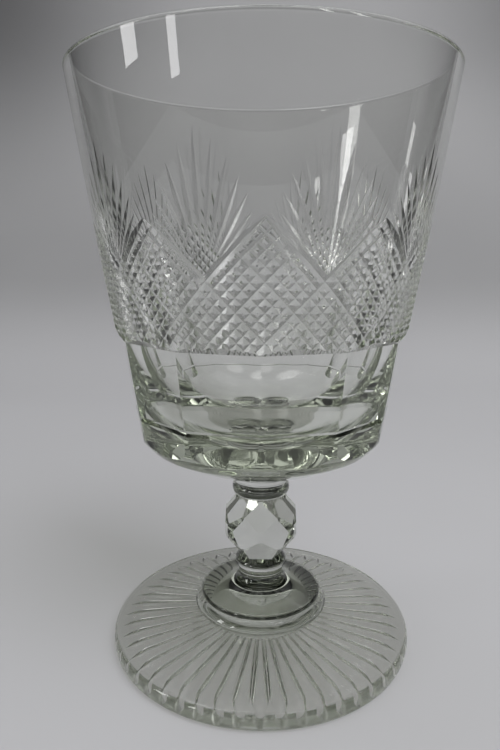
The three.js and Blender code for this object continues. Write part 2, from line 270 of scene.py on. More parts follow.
def bend(start, first, second, end, steps):
    """Points along a cubic curve with two control points."""
    points = []
    for i in range(steps + 1):
        t = i / steps
        weights = ((1 - t) ** 3, 3 * t * (1 - t) ** 2, 3 * t * t * (1 - t), t ** 3)
        points.append(tuple(
            sum(w * p[axis] for w, p in zip(weights, (start, first, second, end)))
            for axis in (0, 1)
        ))
    return points


def soft_bend(start, pull, end, steps):
    """Points along a quadratic curve with one control point."""
    first = tuple(a + (p - a) * 2 / 3 for a, p in zip(start, pull))
    second = tuple(b + (p - b) * 2 / 3 for b, p in zip(end, pull))
    return bend(start, first, second, end, steps)


def run_normals(run):
    """The outward normals of a smooth stretch of profile, at each of its points."""
    sides = []
    for (r0, z0), (r1, z1) in zip(run, run[1:]):
        size = math.hypot(r1 - r0, z1 - z0)
        sides.append(((z1 - z0) / size, (r0 - r1) / size))
    first, last = Vector(sides[0]), Vector(sides[-1])
    turns = [first] + [Vector(a) + Vector(b) for a, b in zip(sides, sides[1:])] + [last]
    if len(sides) > 1:
        turns[0], turns[-1] = first * 3 - Vector(sides[1]), last * 3 - Vector(sides[-2])
    return [turn.normalized() for turn in turns]


def place_round(radius, turn, height):
    """A point at a turn from the front towards the right."""
    return Vector((radius * math.sin(turn), -radius * math.cos(turn), height))


# Meshes with the normals that each corner should show, which booleans carry along.

def add_object(name, data):
    """A new object in the scene."""
    made = bpy.data.objects.new(name, data)
    bpy.context.scene.collection.objects.link(made)
    return made


def soft_mesh(name, points, faces, normals, flags):
    """A mesh object of the given faces, with a normal for each corner and a flag for each face."""
    mesh = bpy.data.meshes.new(name)
    mesh.from_pydata(points, [], faces)
    corner = mesh.attributes.new(SOFT_NORMAL, "FLOAT_VECTOR", "CORNER")
    corner.data.foreach_set("vector", [value for normal in normals for value in normal])
    mesh.materials.append(glass())
    for flag in (CUT_FLAG, MATT_FLAG, WELD_FLAG):
        attribute = mesh.attributes.new(flag, "FLOAT", "FACE")
        attribute.data.foreach_set("value", [float(face_flag == flag) for face_flag in flags])
    return add_object(name, mesh)


def turned(name, runs, segments):
    """Spins a profile round the axis. Each run is its points and a flag, and a corner between two
    runs is sharp."""
    points, faces, normals, flags = [], [], [], []
    rings = {}

    def ring(r, z):
        """The first point of the ring at a radius and a height, which two runs may share."""
        key = (round(r, 7), round(z, 7))
        if key not in rings:
            rings[key] = len(points)
            steps = 1 if r == 0 else segments
            points.extend(place_round(r, k * math.tau / segments, z) for k in range(steps))
        return rings[key]

    for run, flag in runs:
        run_normal = run_normals(run)
        for i in range(len(run) - 1):
            (r0, z0), (r1, z1) = run[i], run[i + 1]
            low, high = ring(r0, z0), ring(r1, z1)
            for k in range(segments):
                after = (k + 1) % segments
                corners = [(low + k, i, k), (low + after, i, k + 1),
                           (high + after, i + 1, k + 1), (high + k, i + 1, k)]
                if r0 == 0:
                    corners = [(low, i, k + 0.5)] + corners[2:]
                if r1 == 0:
                    corners = corners[:2] + [(high, i + 1, k + 0.5)]
                faces.append([corner[0] for corner in corners])
                flags.append(flag)
                for _, j, turn in corners:
                    across, up = run_normal[j]
                    normals.append(place_round(across, turn * math.tau / segments, up))
    return soft_mesh(name, points, faces, normals, flags)


def welded(name, runs, segments):
    """A turned piece that is welded below, where its first run starts, and above, where the last
    one ends."""
    (low_radius, low), (high_radius, high) = runs[0][0], runs[-1][-1]
    seat = ([(0, low), (low_radius, low)], WELD_FLAG)
    top = ([(high_radius, high), (0, high)], WELD_FLAG)
    return turned(name, [seat, *((run, "") for run in runs), top], segments)


class CutterBox:
    """Collects closed cutters into one mesh. Their corner normals point out of the glass, into
    the cut."""

    def __init__(self):
        self.points, self.faces, self.normals = [], [], []

    def add_face(self, corners, normals=None):
        """Adds a face. Without normals of its own it shows flat."""
        places = [self.points[c] for c in corners]
        flat = (places[1] - places[0]).cross(places[-1] - places[0]).normalized()
        self.faces.append(list(corners))
        self.normals.extend(normals or [-flat] * len(corners))

    def add_bar(self, sections, sharp=False, round_sides=0):
        """A bar through sections of equal corner counts, smooth along its length unless it is
        sharp. Its first round_sides sides are smooth across too."""
        first = len(self.points)
        sides = len(sections[0])
        for section in sections:
            self.points.extend(section)

        def corner(i, j):
            return first + i * sides + j % sides

        def flat(i, j):
            a, b, c = (self.points[corner(*at)] for at in ((i, j), (i, j + 1), (i + 1, j)))
            return (c - a).cross(b - a).normalized()

        last = len(sections) - 1
        for i in range(last):
            for j in range(sides):
                ring = ((i + 1, j), (i + 1, j + 1), (i, j + 1), (i, j))
                normals = []
                for row, column in ring:
                    rows, columns = [i], [j]
                    if not sharp:
                        rows = [min(max(beside, 0), last - 1) for beside in (row - 1, row)]
                    if j < round_sides:
                        columns = [at for at in (column - 1, column) if 0 <= at < round_sides]
                    blended = sum((flat(a, b) for a in rows for b in columns), Vector())
                    normals.append(-blended.normalized())
                self.add_face([corner(*at) for at in ring], normals)
        self.add_face([corner(0, j) for j in range(sides)])
        self.add_face([corner(last, j) for j in range(sides)][::-1])

    def make(self, name, flag=CUT_FLAG):
        """The cutters as one mesh object."""
        return soft_mesh(name, self.points, self.faces, self.normals, [flag] * len(self.faces))


def stations(path, steps):
    """Shares along a path, each with its place, normal and side. The path gives the first two."""
    nudge = 0.01
    for i in range(steps + 1):
        at = i / steps
        place, normal = path(at)
        ahead, behind = path(min(at + nudge, 1))[0], path(max(at - nudge, 0))[0]
        yield at, place, normal, (ahead - behind).normalized().cross(normal).normalized()


def mitre_sections(path, depth_at, half_angle, lift, steps):
    """Sections of a V-shaped cutter along a path."""
    sections = []
    for at, place, normal, side in stations(path, steps):
        depth = depth_at(at)
        reach = (depth + lift) * math.tan(half_angle)
        top = place + normal * lift
        sections.append([place - normal * depth, top + side * reach, top - side * reach])
    return sections


def gouge_sections(path, reach_at, edge_slope, lift, steps, arc_steps):
    """Sections of a round-bottomed cutter along a path, whose sides meet the surface at a slope."""
    sections = []
    for at, place, normal, side in stations(path, steps):
        radius = reach_at(at) / math.sin(edge_slope)
        turns = [edge_slope * (2 * j / arc_steps - 1) for j in range(arc_steps + 1)]
        arc = [place + side * radius * math.sin(turn)
               - normal * radius * (math.cos(turn) - math.cos(edge_slope)) for turn in turns]
        out, aside = normal * lift, side * lift / math.tan(edge_slope)
        sections.append(arc + [arc[-1] + out + aside, arc[0] + out - aside])
    return sections


def running_out(at, widest):
    """The share of a cut's full depth at a share of its length: it grows evenly, then runs out."""
    if at < widest:
        return at / widest
    return 1 - ((at - widest) / (1 - widest)) ** 2


# Nodes.

def feed(tree, node, inputs):
    """Sets inputs of a node to values, or links them to sockets or to nodes' first outputs."""
    for key, source in inputs.items():
        if isinstance(source, bpy.types.Node):
            source = source.outputs[0]
        if isinstance(source, bpy.types.NodeSocket):
            tree.links.new(source, node.inputs[key])
        else:
            node.inputs[key].default_value = source
    return node


def node_maker(tree):
    """A function that adds a node to a tree, with the given inputs and traits."""
    def add(kind, inputs=None, **traits):
        node = tree.nodes.new(kind)
        for trait, value in traits.items():
            setattr(node, trait, value)
        return feed(tree, node, inputs or {})

    return add


def node_group(name, kind, inputs, outputs):
    """A new node group whose sockets are given by their labels and kinds."""
    group = bpy.data.node_groups.new(name, kind)
    for in_out, sockets in (("INPUT", inputs), ("OUTPUT", outputs)):
        for label, socket in sockets:
            group.interface.new_socket(label, in_out=in_out, socket_type="NodeSocket" + socket)
    return group


def wheel_cutting_tree():
    """The Geometry Nodes tree that cuts a piece, built when it is first asked for. It stands copies
    of the cutters round the axis, turns their normals with them and cuts each from the piece."""
    name = "Wheel cutting"
    if name in bpy.data.node_groups:
        return bpy.data.node_groups[name]
    tree = node_group(name, "GeometryNodeTree",
                      (("Geometry", "Geometry"), ("Cutters", "Object"), ("Copies", "Int"),
                       ("First Turn", "Float"), ("Glass", "Material")), (("Geometry", "Geometry"),))
    add = node_maker(tree)
    given = add("NodeGroupInput").outputs
    cutters = add("GeometryNodeObjectInfo", {"Object": given["Cutters"]})
    points = add("GeometryNodePoints", {"Count": given["Copies"]})
    step = add("ShaderNodeMath", {0: math.tau, 1: given["Copies"]}, operation="DIVIDE")
    index = add("GeometryNodeInputIndex")
    turn = add("ShaderNodeMath", {0: index, 1: step, 2: given["First Turn"]},
               operation="MULTIPLY_ADD")
    rotation = add("ShaderNodeCombineXYZ", {"Z": turn})
    copies = add("GeometryNodeInstanceOnPoints",
                 {"Points": points, "Instance": cutters.outputs["Geometry"], "Rotation": rotation})
    marked = add("GeometryNodeStoreNamedAttribute",
                 {"Geometry": copies, "Name": COPY_TURN, "Value": turn}, domain="INSTANCE")
    joined = add("GeometryNodeRealizeInstances", {"Geometry": marked})
    normal = add("GeometryNodeInputNamedAttribute", {"Name": SOFT_NORMAL}, data_type="FLOAT_VECTOR")
    copy_turn = add("GeometryNodeInputNamedAttribute", {"Name": COPY_TURN}, data_type="FLOAT")
    rotated = add("ShaderNodeVectorRotate", {"Vector": normal, "Angle": copy_turn},
                  rotation_type="Z_AXIS")
    shown = add("GeometryNodeStoreNamedAttribute",
                {"Geometry": joined, "Name": SOFT_NORMAL, "Value": rotated},
                domain="CORNER", data_type="FLOAT_VECTOR")
    island = add("GeometryNodeInputMeshIsland")
    single = add("GeometryNodeSplitToInstances", {"Geometry": shown, "Group ID": island})
    cut = add("GeometryNodeMeshBoolean", {"Mesh 1": given["Geometry"], "Mesh 2": single},
              operation="DIFFERENCE", solver="MANIFOLD")
    whole = add("GeometryNodeRealizeInstances", {"Geometry": cut})
    finish = add("GeometryNodeSetMaterial", {"Geometry": whole, "Material": given["Glass"]})
    add("NodeGroupOutput", {"Geometry": finish})
    return tree


def wheel_cut(piece, cutters, copies, first_turn=0.0):
    """Adds one round of wheel cutting to a piece, as a modifier."""
    tree = wheel_cutting_tree()
    modifier = piece.modifiers.new("Wheel cutting", "NODES")
    modifier.node_group = tree
    values = {"Cutters": cutters, "Copies": copies, "First Turn": first_turn, "Glass": glass()}
    for item in tree.interface.items_tree:
        if item.in_out == "INPUT" and item.name in values:
            modifier[item.identifier] = values[item.name]


def finish_piece(piece, node):
    """Makes a piece a plain mesh that shows its normals, and seats it in the frame."""
    if piece.modifiers:
        drawn = piece.evaluated_get(bpy.context.evaluated_depsgraph_get())
        rough = piece.data
        cutters = [modifier[item.identifier] for modifier in piece.modifiers
                   for item in modifier.node_group.interface.items_tree if item.name == "Cutters"]
        piece.data = bpy.data.meshes.new_from_object(drawn)
        piece.modifiers.clear()
        bpy.data.meshes.remove(rough)
        for cutter in cutters:
            bpy.data.meshes.remove(cutter.data)
    mesh = piece.data
    mesh.name = piece.name
    mesh.polygons.foreach_set("use_smooth", [True] * len(mesh.polygons))
    corners = mesh.attributes[SOFT_NORMAL].data
    mesh.normals_split_custom_set([Vector(corner.vector).normalized() for corner in corners])
    for name in (SOFT_NORMAL, COPY_TURN):
        if name in mesh.attributes:
            mesh.attributes.remove(mesh.attributes[name])
    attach(piece, BODY)
    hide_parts(node)


# The glass.

def glass_faults_group():
    """A shader node group: faint striae as a colour, and the polish and wear as a roughness."""
    name = "Glass faults"
    if name in bpy.data.node_groups:
        return bpy.data.node_groups[name]
    group = node_group(name, "ShaderNodeTree",
                       (("Tint", "Color"), ("Polish", "Float"), ("Cut Polish", "Float"),
                        ("Matt Polish", "Float"), ("Striae Size", "Float"),
                        ("Wear Height", "Float"), ("Grain", "Float")),
                       (("Color", "Color"), ("Roughness", "Float")))
    add = node_maker(group)
    given = add("NodeGroupInput").outputs
    place = add("ShaderNodeTexCoord").outputs["Object"]
    scale = add("ShaderNodeMath", {0: 1.0, 1: given["Striae Size"]}, operation="DIVIDE")
    striae = add("ShaderNodeTexNoise", {"Vector": place, "Scale": scale})
    tone = add("ShaderNodeMapRange", {"Value": striae, "To Min": 0.97, "To Max": 1.0})
    tinted = add("ShaderNodeVectorMath", {"Vector": given["Tint"], "Scale": tone},
                 operation="SCALE")
    height = add("ShaderNodeSeparateXYZ", {"Vector": place}).outputs["Z"]
    low = add("ShaderNodeMapRange", {"Value": height, "From Max": given["Wear Height"],
                                     "To Min": 1.0, "To Max": 0.0})
    scratches = add("ShaderNodeTexNoise", {"Vector": place, "Scale": 900.0, "Detail": 6.0})
    wear = add("ShaderNodeMath", {0: low, 1: scratches}, operation="MULTIPLY")
    polish = given["Polish"]
    for flag, label in ((CUT_FLAG, "Cut Polish"), (MATT_FLAG, "Matt Polish")):
        mark = add("ShaderNodeAttribute", attribute_name=flag).outputs["Fac"]
        polish = add("ShaderNodeMix", {"Factor": mark, 2: polish, 3: given[label]})
    grain = add("ShaderNodeMath", {0: wear, 1: given["Grain"], 2: polish},
                operation="MULTIPLY_ADD")
    add("NodeGroupOutput", {"Color": tinted, "Roughness": grain})
    return group


def glass():
    """Clear glass that bends light and is greenish where it is thick. Lamplight meets a tinted
    stand-in, so that the shadow is soft, and a weld between two gathers has no surface to see."""
    name = "rummer_glass"
    if name in bpy.data.materials:
        return bpy.data.materials[name]
    settings = bpy.context.scene.rummer.glass
    material = bpy.data.materials.new(name)
    material.use_nodes = True
    tree = material.node_tree
    add = node_maker(tree)
    faults = add("ShaderNodeGroup",
                 {"Tint": settings.tint, "Polish": settings.polish,
                  "Cut Polish": settings.cut_polish, "Matt Polish": settings.matt_polish,
                  "Striae Size": settings.striae_size, "Wear Height": 0.002, "Grain": 0.25},
                 node_tree=glass_faults_group()).outputs
    surface = feed(tree, tree.nodes["Principled BSDF"],
                   {"Base Color": faults["Color"], "Roughness": faults["Roughness"],
                    "Transmission Weight": 1.0, "IOR": settings.bending})
    rays = add("ShaderNodeLightPath").outputs
    lamplight = add("ShaderNodeMath", {0: rays["Is Shadow Ray"], 1: rays["Is Diffuse Ray"]},
                    operation="MAXIMUM")
    stand_in = add("ShaderNodeBsdfTransparent", {"Color": settings.shadow_tint})
    lit = add("ShaderNodeMixShader", {"Fac": lamplight, 1: surface, 2: stand_in})
    weld = add("ShaderNodeAttribute", attribute_name=WELD_FLAG).outputs["Fac"]
    clear = add("ShaderNodeBsdfTransparent")
    whole = add("ShaderNodeMixShader", {"Fac": weld, 1: lit, 2: clear})
    inside = add("ShaderNodeVolumeAbsorption",
                 {"Color": settings.depth_colour, "Density": settings.depth_density})
    feed(tree, tree.nodes["Material Output"], {"Surface": whole, "Volume": inside})
    return material


# The pieces.

def wall_radius(bowl, height):
    """The uncut wall's radius at a height: a quadratic curve from the diamonds' foot to the rim."""
    low = BOWL_FOOT + bowl.foot_rise
    middle = BOWL_FOOT + bowl.middle_rise
    high = GLASS_HEIGHT - bowl.rim_round
    curve, slope = low - 2 * middle + high, 2 * (middle - low)
    at = (-slope + math.sqrt(slope * slope - 4 * curve * (low - height))) / (2 * curve)
    return ((1 - at) ** 2 * bowl.foot_radius + 2 * at * (1 - at) * bowl.middle_radius
            + at * at * RIM_RADIUS)


def on_wall(bowl, turn, height):
    """A place on the bowl's wall and its outward normal."""
    step = bowl.rim_round
    rise = wall_radius(bowl, height + step) - wall_radius(bowl, height - step)
    slope = math.atan2(rise, 2 * step)
    return (place_round(wall_radius(bowl, height), turn, height),
            place_round(math.cos(slope), turn, -math.sin(slope)))


def bowl_blank(bowl):
    """The bowl as it was blown, before the wheel."""
    foot = BOWL_FOOT
    corner = (bowl.corner_radius, foot + bowl.corner_rise)
    shoulder = (bowl.shoulder_radius, foot + bowl.shoulder_rise)
    hatch = (bowl.foot_radius, foot + bowl.foot_rise)
    rim_top = GLASS_HEIGHT - bowl.rim_round
    rim_inside = RIM_RADIUS - bowl.rim_wall
    base = bend((bowl.neck_radius, foot), (2 * bowl.neck_radius, foot + bowl.base_rise),
                (corner[0] - bowl.corner_rise / 2, corner[1] - 2 * bowl.base_rise), corner,
                steps=12)
    turn_up = bend(corner, (corner[0] + bowl.corner_rise / 5, corner[1] + bowl.corner_rise / 5),
                   (shoulder[0] - bowl.corner_rise / 16, shoulder[1] - bowl.corner_rise / 4),
                   shoulder, steps=8)
    wall = soft_bend(hatch, (bowl.middle_radius, foot + bowl.middle_rise),
                     (RIM_RADIUS, rim_top), steps=24)
    middle = RIM_RADIUS - bowl.rim_wall / 2
    rim = (bend((RIM_RADIUS, rim_top), (RIM_RADIUS, rim_top + bowl.rim_round / 2),
                (middle + bowl.rim_wall / 4, GLASS_HEIGHT), (middle, GLASS_HEIGHT), steps=6)
           + bend((middle, GLASS_HEIGHT), (middle - bowl.rim_wall / 4, GLASS_HEIGHT),
                  (rim_inside, rim_top + bowl.rim_round / 2), (rim_inside, rim_top), steps=6)[1:])
    inner_hatch = (hatch[0] - bowl.hatch_wall, hatch[1])
    inner_middle = (bowl.middle_radius - (bowl.rim_wall + bowl.hatch_wall) / 2,
                    foot + bowl.middle_rise)
    inside = soft_bend((rim_inside, rim_top), inner_middle, inner_hatch, steps=24)
    floor = foot + bowl.well_floor_rise
    well = bend(inner_hatch, (bowl.well_pull_radius, foot + bowl.well_pull_rise),
                (bowl.well_floor_pull, floor), (0, floor), steps=28)
    seat = [(0, foot), (bowl.neck_radius, foot)]
    return turned("bowl_glass", [(seat, WELD_FLAG), (base + turn_up[1:], ""),
                                 ([shoulder, hatch], ""), (wall, ""), (rim, ""),
                                 (inside + well[1:], "")], bowl.segments)


def flute_cutters(bowl, flutes):
    """One flat panel and its stretch of the mitre ring."""
    half = math.pi / flutes.flutes
    top = BOWL_FOOT + bowl.foot_rise
    ring = top - flutes.ring_drop
    slope = (flutes.top_radius - flutes.ring_radius) / flutes.ring_drop
    ledge = bowl.foot_radius - flutes.top_radius * math.cos(half)
    lift = bowl.hatch_wall
    box = CutterBox()

    def section(height, depth):
        """A level slice of the cutter, whose inner edge lies on the panel, past both ridges."""
        ridge = flutes.top_radius - slope * (top - height) - depth
        flat, wide = ridge * math.cos(half), (ridge + lift) * math.tan(half)
        return [Vector((-wide, -flat, height)), Vector((wide, -flat, height)),
                Vector((wide, -flat - 2 * lift, height)), Vector((-wide, -flat - 2 * lift, height))]

    ring_half = flutes.ring_height / 2
    slices = [(BOWL_FOOT, 0), (ring - ring_half, 0), (ring, flutes.ring_depth),
              (ring + ring_half, 0), (top - ledge, 0)]
    sections = [section(height, depth) for height, depth in slices]
    for corner in sections[-1][2:]:
        corner.z += 2 * lift
    box.add_bar(sections, sharp=True)
    return box.make("flute_cutters")


def diamond_cutters(bowl, diamonds):
    """The cuts that start on one pitch of the zigzag edge, down to the right and to the left."""
    foot = BOWL_FOOT + bowl.foot_rise
    peak, valley = foot + diamonds.peak_rise, foot + diamonds.valley_rise
    half_pitch = math.pi / diamonds.repeats
    lift = bowl.rim_round
    end = foot - lift
    box = CutterBox()
    for line in range(diamonds.lines):
        wide = line % diamonds.wide_every == 0
        depth = diamonds.wide_depth if wide else diamonds.fine_depth
        opening = diamonds.wide_angle if wide else diamonds.fine_angle
        down = line / diamonds.lines
        top = peak - down * (peak - valley)
        for way in (-1, 1):
            start = -way * half_pitch * down

            def path(at):
                height = top + at * (end - top)
                turn = start + way * half_pitch * (top - height) / (peak - valley)
                return on_wall(bowl, turn, height)

            def depth_at(at):
                """The wheel enters at a fifth of its depth, and is at all of it after a tenth."""
                return depth * min(1, 8 * at + 0.2)

            box.add_bar(mitre_sections(path, depth_at, opening, lift, steps=8))
    return box.make("diamond_cutters", MATT_FLAG)


def fan_cutters(bowl, diamonds, fans):
    """The cuts of one fan, over the valley half a pitch to the right of a peak."""
    valley = BOWL_FOOT + bowl.foot_rise + diamonds.valley_rise
    half_pitch = math.pi / diamonds.repeats
    lift = bowl.rim_round
    box = CutterBox()
    for ray in range(fans.rays):
        lean = -1 + 2 * ray / (fans.rays - 1)
        slant = lean * fans.spread
        reach = fans.long_ray + (fans.short_ray - fans.long_ray) * abs(lean)
        deepest = fans.depth * math.sqrt(reach / fans.long_ray)

        def path(at):
            out = fans.start + at * (reach - fans.start)
            height = valley + out * math.cos(slant)
            turn = half_pitch + out * math.sin(slant) / wall_radius(bowl, height)
            return on_wall(bowl, turn, height)

        def depth_at(at):
            """It starts and ends a little over the wall, so that its ends are points."""
            return deepest * running_out(at, fans.widest) - deepest / 20

        box.add_bar(mitre_sections(path, depth_at, fans.opening, lift, steps=12))
    return box.make("fan_cutters", MATT_FLAG)


class RUMMER_OT_bowl(bpy.types.Operator):
    """Blow the bucket bowl and cut its flutes, diamonds and fans"""
    bl_idname = "rummer.bowl"
    bl_label = "Bowl"

    def execute(self, context):
        settings = context.scene.rummer
        bowl, flutes, diamonds = settings.bowl, settings.flutes, settings.diamonds
        piece = bowl_blank(bowl)
        wheel_cut(piece, flute_cutters(bowl, flutes), flutes.flutes, math.pi / flutes.flutes)
        for cutters in (diamond_cutters(bowl, diamonds),
                        fan_cutters(bowl, diamonds, settings.fans)):
            wheel_cut(piece, cutters, diamonds.repeats, diamonds.first_turn)
        finish_piece(piece, "bowl")
        return {"FINISHED"}


def facet_block(box, centre, direction, distance, size):
    """A block outside a flat facet that faces a direction at a distance from a centre."""
    side = direction.cross(Vector((0, 0, 1))).normalized()
    up = side.cross(direction).normalized()
    face = centre + direction * distance
    near = [face - side * size - up * size, face - side * size + up * size,
            face + side * size + up * size, face + side * size - up * size]
    box.add_bar([[corner + direction * size for corner in near], near], sharp=True)


class RUMMER_OT_knop(bpy.types.Operator):
    """Turn the knop and cut its three rows of facets"""
    bl_idname = "rummer.knop"
    bl_label = "Knop"

    def execute(self, context):
        knop = context.scene.rummer.knop
        middle, half = (KNOP_FOOT + KNOP_TOP) / 2, (KNOP_TOP - KNOP_FOOT) / 2
        outline = []
        rings = 24
        for i in range(rings + 1):
            up = -math.cos(math.pi * i / rings)
            end = knop.foot_radius if up < 0 else knop.top_radius
            bulge = (knop.radius - end) * math.sqrt(max(0, 1 - up * up))
            outline.append((end + bulge, middle + up * half))
        piece = welded("knop_glass", [outline], segments=96)
        box = CutterBox()
        centre = Vector((0, 0, middle))
        reach = 2 * knop.radius
        for tilt in (-knop.shoulder_tilt, knop.shoulder_tilt):
            slant = Vector((0, -math.cos(tilt), math.sin(tilt)))
            facet_block(box, centre, slant, knop.shoulder_facet, reach)
        between = place_round(1, math.pi / knop.facets, 0)
        facet_block(box, centre, between, knop.waist_facet, reach)
        wheel_cut(piece, box.make("facet_cutters"), knop.facets)
        finish_piece(piece, "knop")
        return {"FINISHED"}


class RUMMER_OT_collars(bpy.types.Operator):
    """Turn the two collars that hold the knop"""
    bl_idname = "rummer.collars"
    bl_label = "Collars"

    def execute(self, context):
        settings = context.scene.rummer
        stem, knop, bowl = settings.stem, settings.knop, settings.bowl
        waist = (UPPER_COLLAR_FOOT + UPPER_COLLAR_TOP) / 2
        third = (waist - UPPER_COLLAR_FOOT) / 3
        bead = bend((knop.top_radius, UPPER_COLLAR_FOOT),
                    (UPPER_COLLAR_RADIUS + third / 4, UPPER_COLLAR_FOOT + third / 2),
                    (UPPER_COLLAR_RADIUS + third / 4, waist - third / 2),
                    (stem.upper_waist, waist), steps=12)
        flare = bend((stem.upper_waist, waist), (stem.upper_waist - third / 4, waist + third),
                     (stem.upper_waist, UPPER_COLLAR_TOP - third),
                     (bowl.neck_radius, UPPER_COLLAR_TOP), steps=10)
        finish_piece(welded("upper_collar_glass", [bead, flare], segments=96), "upper_collar")
        rise = LOWER_COLLAR_TOP - LOWER_COLLAR_FOOT
        edge = bend((stem.top_radius, LOWER_COLLAR_FOOT),
                    (LOWER_COLLAR_RADIUS + rise / 6, LOWER_COLLAR_FOOT + rise / 5),
                    (stem.lower_neck + rise / 3, LOWER_COLLAR_FOOT + rise * 0.7),
                    (stem.lower_neck, LOWER_COLLAR_TOP), steps=12)
        finish_piece(welded("lower_collar_glass", [edge], segments=96), "lower_collar")
        return {"FINISHED"}


class RUMMER_OT_stem(bpy.types.Operator):
    """Turn the waisted stem with its thin disc, and the step under it"""
    bl_idname = "rummer.stem"
    bl_label = "Stem and step"

    def execute(self, context):
        stem = context.scene.rummer.stem
        thick = stem.disc_thickness
        disc_top = STEM_FOOT + thick
        shoulder = STEM_DISC_RADIUS - thick / 2
        edge = bend((stem.undercut, STEM_FOOT), (STEM_DISC_RADIUS + thick / 8, STEM_FOOT),
                    (STEM_DISC_RADIUS + thick / 8, disc_top), (shoulder, disc_top), steps=10)
        waist = STEM_FOOT + stem.waist_rise
        flare = bend((shoulder, disc_top), (stem.waist_radius + thick, disc_top + thick / 3),
                     (stem.waist_radius, waist - thick), (stem.waist_radius, waist), steps=24)
        neck = bend((stem.waist_radius, waist), (stem.waist_radius, waist + thick / 2),
                    (stem.top_radius - thick / 3, STEM_TOP - thick / 3),
                    (stem.top_radius, STEM_TOP), steps=8)
        finish_piece(welded("stem_glass", [edge + flare[1:] + neck[1:]], segments=160), "stem")
        rise = STEP_TOP - STEP_FOOT
        bulge = bend((STEP_SEAT, STEP_FOOT), (STEP_RADIUS + rise / 8, STEP_FOOT + rise / 4),
                     (stem.step_top_radius + rise / 5, STEP_TOP - rise / 12),
                     (stem.undercut, STEP_TOP), steps=16)
        finish_piece(welded("step_glass", [bulge], segments=160), "foot_step")
        return {"FINISHED"}


def underside_height(foot, radius):
    """The uncut underside's height at a radius, between its level middle and its resting ring."""
    level = foot.hollow * (foot.rest_inner - radius) / (foot.rest_inner - foot.hollow_flat)
    return FOOT_BOTTOM + min(max(level, 0), foot.hollow)


class RUMMER_OT_foot(bpy.types.Operator):
    """Turn the foot and cut the rays under it"""
    bl_idname = "rummer.foot"
    bl_label = "Foot"

    def execute(self, context):
        foot = context.scene.rummer.foot
        soft = foot.edge_round
        middle = (FOOT_RADIUS, foot.edge_height / 2)
        shoulder = (FOOT_RADIUS - soft, foot.edge_height)
        edge = (bend((foot.rest_outer, FOOT_BOTTOM), (FOOT_RADIUS - soft / 4, FOOT_BOTTOM),
                     (FOOT_RADIUS, soft / 2), middle, steps=8)
                + bend(middle, (FOOT_RADIUS, foot.edge_height - soft / 2),
                       (FOOT_RADIUS - soft / 2, foot.edge_height - soft / 10), shoulder,
                       steps=8)[1:])
        rise = FOOT_TOP - foot.edge_height
        dome = bend(shoulder, ((FOOT_RADIUS + STEP_RADIUS) / 2, foot.edge_height + rise / 3),
                    (STEP_RADIUS + (FOOT_RADIUS - STEP_RADIUS) / 4, FOOT_TOP - rise / 3),
                    (STEP_SEAT, FOOT_TOP), steps=24)
        rest = [(foot.rest_inner, FOOT_BOTTOM), (foot.rest_outer, FOOT_BOTTOM)]
        hollow = [(0, foot.hollow), (foot.hollow_flat, foot.hollow), rest[0]]
        weld = [(STEP_SEAT, FOOT_TOP), (0, FOOT_TOP)]
        piece = turned("foot_glass", [(hollow, ""), (rest, ""), (edge + dome[1:], ""),
                                      (weld, WELD_FLAG)], segments=192)

        def radius_at(at):
            return foot.ray_inner + at * (foot.ray_outer - foot.ray_inner)

        def path(at):
            radius = radius_at(at)
            return place_round(radius, 0, underside_height(foot, radius)), Vector((0, 0, -1))

        def reach_at(at):
            """The petals widen with the room between them, then run out almost to a point."""
            widest = foot.ray_width * radius_at(min(at, foot.ray_widest)) * math.pi / foot.rays
            if at <= foot.ray_widest:
                return widest
            tip = 0.02
            return widest * max(running_out(at, foot.ray_widest), tip)

        arc_steps = 8
        sections = gouge_sections(path, reach_at, foot.ray_slope, foot.hollow, steps=24,
                                  arc_steps=arc_steps)
        box = CutterBox()
        box.add_bar(sections, round_sides=arc_steps)
        wheel_cut(piece, box.make("ray_cutters"), foot.rays)
        finish_piece(piece, "foot")
        return {"FINISHED"}


# The studio. The paper lies flat under the glass and sweeps up behind it. Sizes are in metres,
# and turns and rises in degrees, as seen from the glass.
SHEET_FRONT, SHEET_BACK, SHEET_TOP, SHEET_HALF_WIDTH = -0.6, 0.3, 0.9, 0.8
SHEET_GAP = 0.0003
SWEEP_RADIUS = 0.35
SWEEP_STEPS = 24
SHADE_REACH = 0.32
SHADED_CORNERS = ((-0.36, SHEET_BACK + SWEEP_RADIUS, 0.42), (0.42, SHEET_BACK + SWEEP_RADIUS, 0.46))

# Each window's name, the turns and the rises that it fills, and its share of the windows' power.
WINDOW_DISTANCE = 0.9
WINDOWS = (
    ("window_left", (-113.5, -104.5), (4, 28), 1),
    ("window_far_left", (-137, -132), (0.5, 20), 1),
    ("window_right", (79.5, 82.5), (-7, -3), 0.5),
)
SOFTBOX_TURN, SOFTBOX_RISE, SOFTBOX_DISTANCE, SOFTBOX_SIZE = 132, 54, 1.5, 1.0
LAMPS_AIM = 0.8 * GLASS_HEIGHT

# The room's round patches: turn and rise, outer and inner radius, colour and strength.
ROOM_PATCHES = (
    (0, 55, 44, 28, "far_colour", 1),
    (180, 46, 34, 14, "wall_colour", 1),
    (180, 80, 30, 22, "dark_colour", 1),
    (-60, 74, 14, 7, "lamp_colour", 3),
    (120, 74, 12, 6, "lamp_colour", 2),
    (66, 8, 26, 12, "dark_colour", 1),
    (-66, 2, 26, 12, "dark_colour", 1),
)


